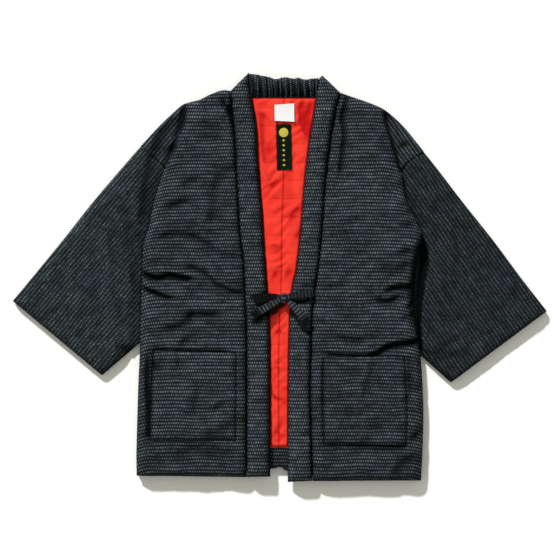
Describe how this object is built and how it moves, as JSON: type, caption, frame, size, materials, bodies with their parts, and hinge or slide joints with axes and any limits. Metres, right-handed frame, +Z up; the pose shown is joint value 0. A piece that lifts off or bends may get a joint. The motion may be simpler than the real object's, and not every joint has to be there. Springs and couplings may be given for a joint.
{
  "type": "hanten jacket laid flat",
  "caption": "Padded short hanten jacket with wide sleeves, collar band, patch pockets and a front tie, laid flat with its red lining showing between the fronts.",
  "frame": {"origin": "centre of the garment's box in plan, on the surface that it lies on", "axes": "+X across the garment from one cuff to the other, +Y from the hem to the neck, +Z up from the surface"},
  "size_m": [1.106, 0.846, 0.0417],
  "materials": {
    "outer_cloth": "matt slubby cotton, dark navy with rows of small light grey dots",
    "lining_cotton": "plain red cotton, quilted in rows",
    "label_white": "white woven tape, bare",
    "label_dark": "dark green woven tape with a plain gold disc and gold diamonds"
  },
  "bodies": {
    "root": {"back_left": "outer_cloth", "back_right": "outer_cloth", "front_left": "outer_cloth", "front_right": "outer_cloth", "sleeve_left": "outer_cloth", "sleeve_right": "outer_cloth", "collar_left": "outer_cloth", "collar_neck": "outer_cloth", "collar_right": "outer_cloth", "pocket_left": "outer_cloth", "pocket_right": "outer_cloth", "tie_left": "outer_cloth", "tie_right": "outer_cloth", "tie_knot": "outer_cloth", "back_hem_facing": "outer_cloth", "lining_left": "lining_cotton", "lining_right": "lining_cotton", "label_white": "label_white", "label_dark": "label_dark"}
  },
  "joints": []
}
